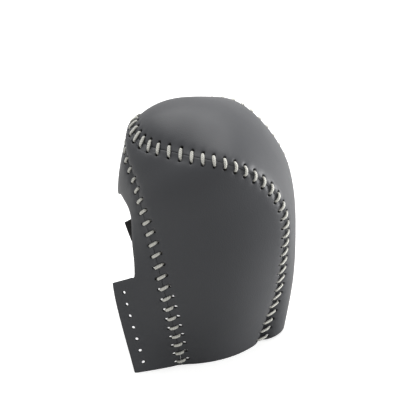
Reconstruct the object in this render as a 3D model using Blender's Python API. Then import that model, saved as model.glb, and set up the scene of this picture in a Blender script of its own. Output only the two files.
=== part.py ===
"""Hand-laced leather cover for the knob of an automatic gear lever.

Three panels are die-cut from thin smooth hide, punched along their edges and stood edge to edge over
the shape of the knob: a tongue that runs over the dome and down the spine, a horseshoe side panel
that wraps both flanks and passes round the front, and a front panel with the button window and two
flaps that are laced together once the cover is on the knob. One waxed thread closes each seam. It
comes up through a hole in one panel, crosses the butted edges, goes down through the other panel
and passes on to the next pair of holes inside.

The drawing has the button side at -X, the spine at +X, the mirror plane at Y = 0 and the rim at
Z = 0. Lengths are in millimetres until a mesh is written.
"""

import bmesh
import bpy
import numpy as np
from mathutils import Vector
from mathutils.geometry import delaunay_2d_cdt

MM = 0.001

# Hide and lacing
HIDE = 1.2            # thickness of the leather
SEAM_GAP = 0.5        # air between two butted edges
PITCH = 4.4           # from one stitch to the next
HOLE_MARGIN = 2.3     # from the seam line to the middle of a lacing hole
THREAD = 1.1          # diameter of the waxed thread
HOLE_AIR = 0.35       # air between the thread and the wall of its hole
OUTSIDE_AIR = 0.36    # air between the leather and a stitch that lies on it
INSIDE_AIR = 0.65     # the same inside, where the thread is slacker
SEAM_END = 2.2        # from the rim to the last stitch
FRONT_SLANT = 1.5     # how far each front stitch climbs towards the side panel
TAIL = 4.0            # end of a thread, which turns up and inwards from its last hole
TRIM = 4.0            # hide left below the rim, cut off flat when the panel is formed

# Tongue over dome and spine: the line that its middle follows, and how far it is bowed across
SPINE_ROWS = (  # x, z, radius of the bow across the tongue
    (-52.4, 90.3, 17.5),
    (-44.6, 95.5, 24.0),
    (-31.6, 98.1, 32.5),
    (-14.8, 94.1, 63.0),
    (0.2, 81.5, 83.0),
    (8.7, 64.3, 100.0),
    (10.6, 45.0, 43.0),
    (10.1, 24.2, 18.0),
    (6.7, 0.0, 9.6),
    (6.1, -TRIM, 9.2),
)
# The flat shape of the tongue: distance from its front tip, and half its width there
TONGUE_ROWS = (
    (0.0, 0.0),
    (0.6, 7.8),
    (4.4, 16.0),
    (11.2, 21.1),
    (20.0, 24.4),
    (31.0, 27.4),
    (44.0, 27.8),
    (66.0, 21.5),
    (92.0, 18.0),
    (120.0, 14.6),
    (146.0, 14.2),
)
# Front seam on the near side, from the middle of the nose down to the rim
FRONT_SEAM_ROWS = (
    (-54.8, 0.0, 83.8),
    (-54.5, -9.8, 80.7),
    (-50.9, -18.0, 74.9),
    (-47.4, -25.0, 67.0),
    (-43.3, -28.2, 54.9),
    (-39.3, -31.1, 39.3),
    (-35.2, -32.1, 21.0),
    (-32.0, -28.4, 0.0),
    (-31.5, -27.7, -TRIM),
)
# Where the front panel reaches, opposite places on its seam: the lip over the window, then the line
# that carries the free edge of the flap
REACH_ROWS = (  # distance along the seam, x, y, z
    (0.0, -58.3, 0.0, 59.3),
    (14.0, -58.2, -4.6, 57.4),
    (28.0, -57.7, -9.2, 53.8),
    (42.0, -57.8, -13.8, 48.6),
    (56.0, -58.5, -18.8, 41.5),
    (71.0, -58.9, -24.4, 33.3),
    (87.0, -54.6, -30.3, 16.0),
    (102.1, -49.6, -35.5, 0.0),
    (106.1, -48.3, -36.8, -TRIM),
)
# Swell of the panels between their seams, from the middle of the front to the rim
SIDE_SWELL = (0.9, 3.4, 7.0, 6.5, 4.0)
FRONT_SWELL = (0.9, 1.0, 0.9, 0.5, 0.2)

# Window and flaps, on the front panel: distance along the seam, share of the reach
WINDOW_ROWS = (
    (0.0, 0.985),
    (6.0, 0.94),
    (12.0, 0.79),
    (17.5, 0.63),
    (24.0, 0.51),
    (29.0, 0.415),
    (33.0, 0.39),
    (38.0, 0.435),
    (46.0, 0.515),
    (56.0, 0.525),
    (64.0, 0.545),
)
FLAP_TOP = (64.8, 70.9)  # distance along the seam to the top edge of the flap: window end, free end
CORNER = 1.8          # radius between the window and the flap
FLAP_HOLES = 7        # lacing holes in each flap
FLAP_HOLE = 1.6       # their diameter
FLAP_MARGIN = 4.3     # from the free edge to the middle of a hole
FLAP_FIRST = 4.2      # from the top edge of the flap to the first hole
FLAP_LAST = 3.1       # from the rim to the last hole

# How finely the panels are divided: rows along, rows across and corners on the rim
TONGUE_GRID = (15, 7, 4)
SIDE_GRID = (23, 5, 6)
FRONT_GRID = (23, 3, 3)
GRID_CLEAR = 2.8      # from a grid point to the nearest edge or hole
WINDOW_CORNERS = 15   # corners on one half of the window's edge
FREE_CORNERS = 5      # corners on the free edge of a flap
BEND_CORNERS = 4      # corners on the bend between window and flap
SPARE = 1.0           # least distance between the bend and its neighbour on the window's edge
LACE_HOLE_CORNERS = 4
FLAP_HOLE_CORNERS = 8
SIDE_SIZE = (120.0, 40.0)  # rough length and width of one flank, which scale its chart
FRONT_WIDTH = 24.0    # rough width of the front panel, the same
SAMPLES = 900         # steps in which a curve's length is measured
SEARCHES = 6          # steps in which a point is found on a surface
NUDGE = 0.02          # step for slopes on a curve or surface

# Finishes
LEATHER_TONE = (0.055, 0.055, 0.059)
LEATHER_ROUGHNESS = 0.5
THREAD_TONE = (0.50, 0.50, 0.45)
THREAD_ROUGHNESS = 0.8


def unit(vectors):
    """The same vectors with a length of one."""
    return vectors / np.linalg.norm(vectors, axis=-1, keepdims=True)


def natural_spline(knots, values):
    """Cubic spline through the values, straight at both ends, as a function of the knot scale."""
    gap = np.diff(knots)
    slope = np.diff(values, axis=0) / gap[:, None]
    matrix = np.eye(len(knots))
    target = np.zeros_like(values)
    for i in range(1, len(knots) - 1):
        matrix[i, i - 1:i + 2] = gap[i - 1], 2 * (gap[i - 1] + gap[i]), gap[i]
        target[i] = 6 * (slope[i] - slope[i - 1])
    bend = np.linalg.solve(matrix, target)

    def value(x):
        x = np.asarray(x, float)
        i = np.clip(np.searchsorted(knots, x) - 1, 0, len(gap) - 1)
        h = gap[i][..., None]
        p = (knots[i + 1] - x)[..., None] / h
        q = 1 - p
        cubic = ((p ** 3 - p) * bend[i] + (q ** 3 - q) * bend[i + 1]) * h ** 2 / 6
        return p * values[i] + q * values[i + 1] + cubic

    return value


class Curve:
    """Smooth curve through rows of points, walked by its length from a row that counts as zero."""

    def __init__(self, rows, measured=3, zero_row=0):
        rows = np.array(rows, float)
        steps = np.linalg.norm(np.diff(rows[:, :measured], axis=0), axis=1)
        knots = np.concatenate([[0], np.cumsum(steps)])
        self.spline = natural_spline(knots, rows)
        self.scale = np.linspace(0, knots[-1], SAMPLES)
        points = self.spline(self.scale)[:, :measured]
        steps = np.linalg.norm(np.diff(points, axis=0), axis=1)
        length = np.concatenate([[0], np.cumsum(steps)])
        self.length = length - np.interp(knots[zero_row], self.scale, length)

    def at(self, s):
        beyond = s - np.clip(s, self.length[0], self.length[-1])
        return self.spline(np.interp(s, self.length, self.scale) + beyond)

    def slope(self, s):
        return self.at(np.asarray(s) + NUDGE) - self.at(np.asarray(s) - NUDGE)


def mirrored(rows, *sides):
    """Rows from the mirror plane outwards, preceded by their image with the named columns negated."""
    rows = np.array(rows, float)
    image = rows[:0:-1].copy()
    image[:, list(sides)] *= -1
    return np.vstack([image, rows])


def even(rows):
    """Values given from the middle of the front to the rim, as a function of the share of the way."""
    values = np.array(rows, float)[:, None]
    spline = natural_spline(np.linspace(0, 1, len(values)), values)
    return lambda share: spline(np.clip(np.abs(share), 0, 1))


# Tongue: distance along the middle line, distance across it, positive on the near side
SPINE_LINE = Curve([(x, z, 1 / radius) for x, z, radius in SPINE_ROWS], measured=2)


def tongue(along, across):
    """The tongue is a strip bent along the spine line and bowed across it in circular arcs."""
    x, z, curl = SPINE_LINE.at(along).T
    lean = unit(SPINE_LINE.slope(along)[..., :2])
    turn = curl * across
    drop = (1 - np.cos(turn)) / curl
    return np.stack([x + drop * lean[..., 1], -np.sin(turn) / curl, z - drop * lean[..., 0]], -1)


TONGUE_EDGE = Curve(mirrored(TONGUE_ROWS, 1), measured=2, zero_row=len(TONGUE_ROWS) - 1)
FRONT_SEAM = Curve(mirrored(FRONT_SEAM_ROWS, 1), zero_row=len(FRONT_SEAM_ROWS) - 1)


class CapSeam:
    """Edge of the tongue in space, walked by its length from the front tip."""

    def __init__(self):
        self.edge = np.linspace(TONGUE_EDGE.length[0], TONGUE_EDGE.length[-1], SAMPLES)
        points = tongue(*TONGUE_EDGE.at(self.edge).T)
        steps = np.linalg.norm(np.diff(points, axis=0), axis=1)
        length = np.concatenate([[0], np.cumsum(steps)])
        self.length = length - length[-1] / 2

    def chart(self, s):
        beyond = s - np.clip(s, self.length[0], self.length[-1])
        return TONGUE_EDGE.at(np.interp(s, self.length, self.edge) + beyond)

    def at(self, s):
        return tongue(*self.chart(s).T)

    def slope(self, s):
        return self.at(np.asarray(s) + NUDGE) - self.at(np.asarray(s) - NUDGE)


CAP_SEAM = CapSeam()


def length_to_rim(seam):
    """Length of a seam from the middle of the front to the floor."""
    s = np.linspace(0, seam.length[-1], SAMPLES)
    return float(np.interp(0, -seam.at(s)[:, 2], s))


CAP_RIM = length_to_rim(CAP_SEAM)
FRONT_RIM = length_to_rim(FRONT_SEAM)
CAP_END = CAP_SEAM.length[-1]
FRONT_END = FRONT_SEAM.length[-1]
SIDE_HEIGHT = even(SIDE_SWELL)
FRONT_HEIGHT = even(FRONT_SWELL)
REACH_PLACES = mirrored(REACH_ROWS, 0, 2)
REACH_SPLINE = natural_spline(REACH_PLACES[:, 0], REACH_PLACES[:, 1:])


def swelled(start, end, share, along, height):
    """Straight lines from start to end, raised between them to a parabola of the given height."""
    out = unit(np.cross(along, end - start))
    rise = 4 * share * (1 - share)
    return start + share[:, None] * (end - start) + rise[:, None] * height * out


def flank(way, share):
    """Side panel: way is 0 at the front and 1 at the near rim, share runs from front to cap seam."""
    start = FRONT_SEAM.at(way * FRONT_END)
    end = CAP_SEAM.at(way * CAP_END)
    along = unit(FRONT_SEAM.slope(way * FRONT_END)) + unit(CAP_SEAM.slope(way * CAP_END))
    return swelled(start, end, share, along, SIDE_HEIGHT(way))


def face(s, share):
    """Front panel: s is the distance along its seam, share runs from the seam to the full reach."""
    start = FRONT_SEAM.at(s)
    end = REACH_SPLINE(s)
    return swelled(start, end, share, -FRONT_SEAM.slope(s), FRONT_HEIGHT(s / FRONT_END))


class Panel:
    """A sheet surface with two chart numbers, its outward side and the rough size of its chart."""

    def __init__(self, surface, outward, stretch):
        self.surface = surface
        self.outward = outward
        self.stretch = np.array(stretch, float)

    def at(self, chart):
        chart = np.asarray(chart, float)
        return self.surface(chart[:, 0], chart[:, 1])

    def slopes(self, chart):
        """How the surface runs for one unit of each chart number."""
        step = NUDGE / self.stretch
        ahead = np.array([[step[0], 0], [0, step[1]]])
        return [(self.at(chart + d) - self.at(chart - d)) / (2 * d.sum()) for d in ahead]

    def normal(self, chart):
        first, second = self.slopes(chart)
        return self.outward * unit(np.cross(first, second))

    def locate(self, guess, target):
        """Chart numbers of the surface points nearest to the targets, by repeated projection."""
        chart = np.array(guess, float)
        for _ in range(SEARCHES):
            first, second = self.slopes(chart)
            miss = target - self.at(chart)
            a, b, c = (first * first).sum(1), (first * second).sum(1), (second * second).sum(1)
            d, e = (first * miss).sum(1), (second * miss).sum(1)
            bottom = a * c - b * b
            chart += np.stack([(c * d - b * e) / bottom, (a * e - b * d) / bottom], 1)
        return chart


TONGUE = Panel(tongue, -1, (1, 1))
FLANK = Panel(flank, 1, SIDE_SIZE)
FACE = Panel(face, -1, (1, FRONT_WIDTH))


def edge_frame(panel, edge_chart, seam, s, inward):
    """Seam points with, at each, the seam's direction and the way into the panel along its surface."""
    along = unit(seam.slope(s))
    into = inward * unit(np.cross(panel.normal(edge_chart), along))
    return seam.at(s), along, into


def inset(panel, edge_chart, frame, distance):
    """Chart numbers of the points at a distance from the seam, measured along the surface."""
    point, along, into = frame
    return panel.locate(edge_chart, point + distance * into)


def punched(panel, centres, along, size, corners):
    """Outlines of holes in the chart, with flat sides along the seam where they have four."""
    normal = panel.normal(centres)
    across = unit(np.cross(normal, along))
    forward = np.cross(across, normal)
    angles = (np.arange(corners) + 0.5) * 2 * np.pi / corners
    radius = size / 2 / np.cos(np.pi / corners)
    middle = panel.at(centres)
    loops = []
    for angle in angles:
        target = middle + radius * (np.cos(angle) * forward + np.sin(angle) * across)
        loops.append(panel.locate(centres, target))
    return np.stack(loops, 1)


def stitch_places(rim):
    """Places along a seam, the same number on both sides of the one in the middle."""
    count = round((rim - SEAM_END) / PITCH)
    return np.linspace(SEAM_END - rim, rim - SEAM_END, 2 * count + 1)


CAP_STITCHES = stitch_places(CAP_RIM)
FRONT_STITCHES = stitch_places(FRONT_RIM)
HOLE = THREAD * np.sqrt(np.pi) / 2 + 2 * HOLE_AIR  # a square that clears the square-drawn thread


def seam_charts(s, on_cap):
    """Chart numbers of a seam's places on the two panels that it joins, outer panel first."""
    if on_cap:
        return CAP_SEAM.chart(s), np.stack([s / CAP_END, np.ones_like(s)], 1)
    return np.stack([s, np.zeros_like(s)], 1), np.stack([s / FRONT_END, np.zeros_like(s)], 1)


def mitre(s, on_cap):
    """Direction that halves the angle between the two panels along a seam."""
    first, second = seam_charts(s, on_cap)
    panels = (TONGUE, FLANK) if on_cap else (FACE, FLANK)
    return unit(panels[0].normal(first) + panels[1].normal(second))


def seam_holes(panel, s, chart, seam, inward):
    """Centres of one row of lacing holes in the chart, and the seam's direction beside each."""
    frame = edge_frame(panel, chart, seam, s, inward)
    return inset(panel, chart, frame, HOLE_MARGIN), frame[1]


def within(points, loop):
    """Whether each point lies in a closed loop: a line to one side crosses it an odd number of times."""
    crossings = np.zeros(len(points), int)
    for a, b in zip(loop, np.roll(loop, -1, axis=0)):
        if a[1] != b[1]:
            x = a[0] + (points[:, 1] - a[1]) * (b[0] - a[0]) / (b[1] - a[1])
            crossings += ((a[1] > points[:, 1]) != (b[1] > points[:, 1])) & (points[:, 0] < x)
    return crossings % 2 == 1


def kept_inside(points, outline, holes, stretch):
    """Grid points that lie in the outline and clear of it and of the holes, in stretched units."""
    loop = outline * stretch
    points = points * stretch
    nearest = np.full(len(points), np.inf)
    for a, b in zip(loop, np.roll(loop, -1, axis=0)):
        share = np.clip(((points - a) @ (b - a)) / ((b - a) @ (b - a)), 0, 1)
        nearest = np.minimum(nearest, np.linalg.norm(points - a - share[:, None] * (b - a), axis=1))
    for centre in holes.mean(1) * stretch:
        nearest = np.minimum(nearest, np.linalg.norm(points - centre, axis=1) - HOLE / 2)
    return points[within(points, loop) & (nearest > GRID_CLEAR)] / stretch


def paint(name, tone, roughness):
    """Plain finish for one piece."""
    material = bpy.data.materials.new(name)
    material.use_nodes = True
    shader = material.node_tree.nodes["Principled BSDF"]
    shader.inputs["Base Color"].default_value = (*tone, 1)
    shader.inputs["Roughness"].default_value = roughness
    shader.inputs["Metallic"].default_value = 0
    return material


def add_object(name, mesh, material):
    mesh.materials.append(material)
    piece = bpy.data.objects.new(name, mesh)
    bpy.context.scene.collection.objects.link(piece)
    return piece


def trimmed_mesh(name, vertices, faces):
    """Closed mesh in metres, cut off flat at the rim and closed there."""
    shape = bmesh.new()
    corners = [shape.verts.new(point * MM) for point in vertices]
    for loop in faces:
        shape.faces.new([corners[i] for i in loop])
    parts = shape.verts[:] + shape.edges[:] + shape.faces[:]
    bmesh.ops.bisect_plane(shape, geom=parts, plane_co=(0, 0, 0), plane_no=(0, 0, -1), clear_outer=True)
    rim = [edge for edge in shape.edges if edge.is_boundary]
    bmesh.ops.holes_fill(shape, edges=rim, sides=0)
    bmesh.ops.recalc_face_normals(shape, faces=shape.faces)
    bmesh.ops.triangulate(shape, faces=shape.faces)
    mesh = bpy.data.meshes.new(name)
    shape.to_mesh(mesh)
    shape.free()
    return mesh


def die_cut(name, panel, outline, edge_normals, holes, grid):
    """One panel: its outline and holes are cut in the chart, then given the thickness of the hide."""
    outline, holes = np.asarray(outline), [np.asarray(h) for h in holes]
    every_hole = np.concatenate([h.reshape(-1, 2) for h in holes])
    middles = np.concatenate([h.mean(1, keepdims=True) for h in holes])
    grid = kept_inside(grid, outline, middles, panel.stretch)
    chart = np.concatenate([outline, every_hole, grid])
    loops = [list(range(len(outline)))]
    start = len(outline)
    for group in holes:
        for _ in group:
            loops.append(list(range(start, start + group.shape[1])))
            start += group.shape[1]
    edges = [(loop[i - 1], loop[i]) for loop in loops for i in range(len(loop))]
    flat = [Vector(point) for point in chart * panel.stretch]
    _, _, triangles, origin, _, _ = delaunay_2d_cdt(flat, edges, [], 0, 1e-7, True)
    triangles = np.array([[origin[i][0] for i in triangle] for triangle in triangles])
    middles = chart[triangles].mean(1)
    hole_of = -1 - np.arange(len(chart))
    for n, loop in enumerate(loops[1:]):
        hole_of[loop] = n
    in_hole = (hole_of[triangles] == hole_of[triangles][:, :1]).all(1)
    triangles = triangles[within(middles, outline) & ~in_hole].tolist()

    normal = panel.normal(chart)
    given = np.isfinite(edge_normals[:, 0])
    normal[:len(outline)][given] = edge_normals[given]
    outside = panel.at(chart)
    inside = outside - HIDE * normal
    count = len(chart)
    used = {}
    for a, b, c in triangles:
        for edge in ((a, b), (b, c), (c, a)):
            used[edge] = True
    walls = [(b, a, a + count, b + count) for a, b in used if (b, a) not in used]
    under = [(c + count, b + count, a + count) for a, b, c in triangles]
    mesh = trimmed_mesh(name, np.concatenate([outside, inside]), triangles + under + walls)
    return add_object(name, mesh, paint(name + "_leather", LEATHER_TONE, LEATHER_ROUGHNESS))


def between(start, end, count):
    """Evenly spread values between two ends, which aren't among them."""
    return np.linspace(start, end, count + 2)[1:-1]


def grid_of(first, second):
    a, b = np.meshgrid(first, second)
    return np.stack([a.ravel(), b.ravel()], 1)


def edge_places(stitches, end):
    """Corners of a panel's edge: one beside each stitch, and the uncut ends below the rim."""
    return np.concatenate([[-end], stitches, [end]])


def no_normals(count):
    return np.full((count, 3), np.nan)


def make_tongue():
    s = edge_places(CAP_STITCHES, CAP_END)
    chart = seam_charts(s, True)[0]
    edge = inset(TONGUE, chart, edge_frame(TONGUE, chart, CAP_SEAM, s, 1), SEAM_GAP / 2)
    rows, columns, feet = TONGUE_GRID
    foot = np.stack([np.full(feet, edge[-1, 0]), between(edge[-1, 1], edge[0, 1], feet)], 1)
    centres, along = seam_holes(TONGUE, CAP_STITCHES, CAP_SEAM.chart(CAP_STITCHES), CAP_SEAM, 1)
    holes = punched(TONGUE, centres, along, HOLE, LACE_HOLE_CORNERS)
    widest = max(half for _, half in TONGUE_ROWS)
    grid = grid_of(between(0, SPINE_LINE.length[-1], rows), between(-widest, widest, columns))
    normals = np.concatenate([mitre(s, True), no_normals(feet)])
    return die_cut("cap_panel", TONGUE, np.concatenate([edge, foot]), normals, [holes], grid)


def make_flank():
    top = edge_places(CAP_STITCHES, CAP_END)
    front = edge_places(FRONT_STITCHES, FRONT_END)
    top_chart = seam_charts(top, True)[1]
    front_chart = seam_charts(front, False)[1]
    top_edge = inset(FLANK, top_chart, edge_frame(FLANK, top_chart, CAP_SEAM, top, -1), SEAM_GAP / 2)
    frame = edge_frame(FLANK, front_chart, FRONT_SEAM, front, 1)
    front_edge = inset(FLANK, front_chart, frame, SEAM_GAP / 2)
    rows, columns, feet = SIDE_GRID
    foot = between(0, 1, feet)[:, None]
    near_foot = top_edge[-1] + foot * (front_edge[-1] - top_edge[-1])
    far_foot = front_edge[0] + foot * (top_edge[0] - front_edge[0])
    outline = np.concatenate([top_edge, near_foot, front_edge[::-1], far_foot])
    bare = no_normals(feet)
    normals = np.concatenate([mitre(top, True), bare, mitre(front, False)[::-1], bare])
    cap_row, cap_along = seam_holes(FLANK, CAP_STITCHES, seam_charts(CAP_STITCHES, True)[1], CAP_SEAM, -1)
    shifted = FRONT_STITCHES - np.sign(FRONT_STITCHES) * FRONT_SLANT / 2
    front_row, front_along = seam_holes(FLANK, shifted, seam_charts(shifted, False)[1], FRONT_SEAM, 1)
    holes = [
        punched(FLANK, cap_row, cap_along, HOLE, LACE_HOLE_CORNERS),
        punched(FLANK, front_row, front_along, HOLE, LACE_HOLE_CORNERS),
    ]
    grid = grid_of(between(-1, 1, rows), between(0, 1, columns))
    return die_cut("side_panel", FLANK, outline, normals, holes, grid)


def window_outline():
    """Near half of the cut edge, from the rim up the flap and round the window to the middle."""
    rows = mirrored(np.array(WINDOW_ROWS) * FACE.stretch, 0)
    window = Curve(rows, measured=2, zero_row=len(WINDOW_ROWS) - 1)
    edge = window.at(np.linspace(0, window.length[-1], WINDOW_CORNERS)) / FACE.stretch
    free = np.stack([np.linspace(FRONT_END, FLAP_TOP[1], FREE_CORNERS), np.ones(FREE_CORNERS)], 1)
    share = WINDOW_ROWS[-1][1]
    radius = CORNER / FACE.stretch[1]
    bend = np.linspace(0, np.pi / 2, BEND_CORNERS)
    corner = np.stack([FLAP_TOP[0] - CORNER * (1 - np.cos(bend)), share + radius * (1 - np.sin(bend))], 1)
    edge = edge[edge[:, 0] < FLAP_TOP[0] - CORNER - SPARE]
    return np.concatenate([free, corner, edge[::-1]])


def make_face():
    s = edge_places(FRONT_STITCHES, FRONT_END)
    chart = seam_charts(s, False)[0]
    edge = inset(FACE, chart, edge_frame(FACE, chart, FRONT_SEAM, s, -1), SEAM_GAP / 2)
    near = window_outline()
    far = near[-2::-1] * (-1, 1)
    rows, columns, feet = FRONT_GRID
    near_foot = np.stack([np.full(feet, FRONT_END), between(edge[-1, 1], 1, feet)], 1)
    outline = np.concatenate([edge, near_foot, near, far, near_foot[::-1] * (-1, 1)])
    normals = np.concatenate([mitre(s, False), no_normals(len(outline) - len(s))])
    shifted = FRONT_STITCHES + np.sign(FRONT_STITCHES) * FRONT_SLANT / 2
    row, along = seam_holes(FACE, shifted, seam_charts(shifted, False)[0], FRONT_SEAM, -1)
    holes = [punched(FACE, row, along, HOLE, LACE_HOLE_CORNERS)]
    free = np.linspace(FLAP_TOP[1], FRONT_END, SAMPLES)
    line = FACE.at(np.stack([free, np.ones(SAMPLES)], 1))
    length = np.concatenate([[0], np.cumsum(np.linalg.norm(np.diff(line, axis=0), axis=1))])
    bottom = np.interp(0, -line[:, 2], length)
    places = np.interp(np.linspace(FLAP_FIRST, bottom - FLAP_LAST, FLAP_HOLES), length, free)
    guess = np.stack([places, np.ones(FLAP_HOLES)], 1)
    first, _ = FACE.slopes(guess)
    into = unit(np.cross(FACE.normal(guess), first))
    centres = FACE.locate(guess, FACE.at(guess) + FLAP_MARGIN * into)
    for side in (1, -1):
        mirrored_along = unit(first) * (1, side, 1)
        holes.append(punched(FACE, centres * (side, 1), mirrored_along, FLAP_HOLE, FLAP_HOLE_CORNERS))
    grid = grid_of(between(-FRONT_END, FRONT_END, rows), between(0, 1, columns))
    return die_cut("front_panel", FACE, outline, normals, holes, grid)


def stitch_rows(on_cap):
    """For each stitch the two hole centres and normals, the crossing point and the seam direction."""
    s = CAP_STITCHES if on_cap else FRONT_STITCHES
    seam = CAP_SEAM if on_cap else FRONT_SEAM
    panels = (TONGUE, FLANK) if on_cap else (FACE, FLANK)
    inward = (1, -1) if on_cap else (-1, 1)
    slant = 0 if on_cap else FRONT_SLANT / 2
    ends = []
    for n in (0, 1):
        shifted = s + (1 - 2 * n) * np.sign(s) * slant
        centre, _ = seam_holes(panels[n], shifted, seam_charts(shifted, on_cap)[n], seam, inward[n])
        ends.append((panels[n].at(centre), panels[n].normal(centre)))
    return ends, seam.at(s), mitre(s, on_cap), unit(seam.slope(s))


def make_lace(name, on_cap):
    """One thread through every hole of a seam: up, across, down, and on to the next pair inside."""
    ((first, first_up), (second, second_up)), middle, up, along = stitch_rows(on_cap)
    half = THREAD * np.sqrt(np.pi) / 4  # half the side of a square with the thread's own section
    above = half + OUTSIDE_AIR
    below = half + INSIDE_AIR + HIDE
    crest = (first + second) / 2 + above * unit(first_up + second_up)
    over = middle + above * up
    rise = np.maximum(((over - crest) * up).sum(1), 0)
    crest = crest + rise[:, None] * up
    stations = (first - below * first_up, first + above * first_up, crest,
                second + above * second_up, second - below * second_up)
    path = np.stack(stations, 1).reshape(-1, 3)
    along = np.repeat(along, 5, axis=0)
    outgoing = np.tile([True, False, False, True, False], len(first))
    start = path[0] + TAIL * unit(unit(first[0] - middle[0]) + along[0] - first_up[0])
    end = path[-1] + TAIL * unit(unit(second[-1] - middle[-1]) - along[-1] - second_up[-1])
    path = np.vstack([start, path, end])
    along = np.vstack([along[0], along, along[-1]])
    outgoing = np.concatenate([[True], outgoing, [False]])
    step = unit(np.diff(path, axis=0))
    before = np.vstack([step[0], step])
    after = np.vstack([step, step[-1]])
    cut = unit(before + after)
    run = np.where(outgoing[:, None], after, before)
    across = unit(along - (along * run).sum(1, keepdims=True) * run)
    over = np.cross(run, across)
    rings = []
    for a, b in ((1, 1), (-1, 1), (-1, -1), (1, -1)):
        corner = half * (a * across + b * over)
        slide = (corner * cut).sum(1, keepdims=True) / (run * cut).sum(1, keepdims=True)
        rings.append(path + corner - slide * run)
    rings = np.stack(rings, 1)
    count = len(path)
    faces = [(0, 1, 2, 3), tuple(4 * (count - 1) + k for k in (3, 2, 1, 0))]
    for i in range(count - 1):
        for k in range(4):
            n = (k + 1) % 4
            faces.append((4 * i + k, 4 * i + 4 + k, 4 * i + 4 + n, 4 * i + n))
    mesh = bpy.data.meshes.new(name)
    mesh.from_pydata((rings.reshape(-1, 3) * MM).tolist(), [], faces)
    shape = bmesh.new()
    shape.from_mesh(mesh)
    bmesh.ops.recalc_face_normals(shape, faces=shape.faces)
    bmesh.ops.triangulate(shape, faces=shape.faces)
    shape.to_mesh(mesh)
    shape.free()
    return add_object(name, mesh, paint(name + "_thread", THREAD_TONE, THREAD_ROUGHNESS))


def centre_on_origin(pieces):
    """Moves the whole cover along X so that the middle of its length is at the origin."""
    x = np.concatenate([[v.co.x for v in piece.data.vertices] for piece in pieces])
    middle = (x.min() + x.max()) / 2
    for piece in pieces:
        for vertex in piece.data.vertices:
            vertex.co.x -= middle
    return -middle / MM


for old in list(bpy.data.objects):
    bpy.data.objects.remove(old)

PIECES = [
    make_tongue(),
    make_flank(),
    make_face(),
    make_lace("cap_seam_lace", True),
    make_lace("front_seam_lace", False),
]
MOVED = centre_on_origin(PIECES)
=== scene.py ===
"""Looks of a hand-laced leather cover for the knob of an automatic gear lever.

The sections follow the cover as it is put together: the cap panel over the dome, the front panel
with its button window and flaps, the side panel between them, and the threads that lace the seams.
The pieces' sizes are in millimetres, in the frame of the paper pattern, and become metres when a
mesh is written. The camera, the floor and the lights are in metres.
"""

import math

import bmesh
import bpy
import numpy as np
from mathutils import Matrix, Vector
from mathutils.geometry import delaunay_2d_cdt


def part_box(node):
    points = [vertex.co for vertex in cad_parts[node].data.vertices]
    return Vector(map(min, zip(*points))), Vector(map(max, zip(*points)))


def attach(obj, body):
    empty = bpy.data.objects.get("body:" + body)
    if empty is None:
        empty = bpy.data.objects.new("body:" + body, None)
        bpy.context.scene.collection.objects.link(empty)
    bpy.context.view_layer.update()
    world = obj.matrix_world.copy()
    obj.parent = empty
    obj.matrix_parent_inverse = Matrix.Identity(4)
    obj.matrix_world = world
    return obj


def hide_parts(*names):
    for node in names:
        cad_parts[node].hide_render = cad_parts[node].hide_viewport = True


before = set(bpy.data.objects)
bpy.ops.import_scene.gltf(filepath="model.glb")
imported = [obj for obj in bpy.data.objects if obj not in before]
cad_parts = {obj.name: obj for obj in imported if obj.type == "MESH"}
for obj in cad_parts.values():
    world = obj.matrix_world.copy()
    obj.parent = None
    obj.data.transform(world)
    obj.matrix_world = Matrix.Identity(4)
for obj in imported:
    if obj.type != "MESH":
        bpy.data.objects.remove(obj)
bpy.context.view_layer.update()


# Camera
# A long lens, held a little to the spine's side of the cover and looking down on it at 28.5
# degrees, as the photograph was taken. The target is the middle of the picture.
PICTURE_SIDE = 416
FOCAL_PIXELS = 2064.2
SENSOR_WIDTH = 36.0
NEAREST_SEEN = 0.05
CAMERA_DISTANCE = 0.8
CAMERA_AZIMUTH = math.radians(3.38)
CAMERA_ELEVATION = math.radians(28.5)
CAMERA_TARGET = Vector((0.00054, 0.0, 0.05403))

view_back = Vector((
    math.sin(CAMERA_AZIMUTH) * math.cos(CAMERA_ELEVATION),
    -math.cos(CAMERA_AZIMUTH) * math.cos(CAMERA_ELEVATION),
    math.sin(CAMERA_ELEVATION),
))
camera_data = bpy.data.cameras.new("camera")
camera_data.sensor_width = SENSOR_WIDTH
camera_data.lens = FOCAL_PIXELS / PICTURE_SIDE * SENSOR_WIDTH
camera_data.clip_start = NEAREST_SEEN
camera = bpy.data.objects.new("camera", camera_data)
camera.location = CAMERA_TARGET + CAMERA_DISTANCE * view_back
camera.rotation_euler = view_back.to_track_quat("Z", "Y").to_euler()
bpy.context.scene.collection.objects.link(camera)
bpy.context.scene.camera = camera
bpy.context.scene.view_settings.view_transform = "Standard"


# Floor, background and light
# A white paper sweep without an edge, which takes the cover's shadow and looks white to the
# camera. A wide softbox hangs over the dome, and a smaller one stands low beside the spine.
WHITE = (1.0, 1.0, 1.0, 1.0)
FLOOR_SIDE = 6.0
FLOOR_COLOUR = (0.86, 0.86, 0.85, 1.0)
FLOOR_LIFT = 0.6  # light on the paper that only the camera sees
WORLD_STRENGTH = 0.46
SOFTBOXES = (  # name, place, size, watts
    ("softbox_over_dome", (-0.04, 0.45, 0.85), (1.1, 0.7), 8.0),
    ("softbox_behind_spine", (0.85, 0.20, 0.06), (0.4, 0.6), 12.5),
)
SOFTBOX_TARGET = Vector((0.0, 0.0, 0.05))


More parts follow.
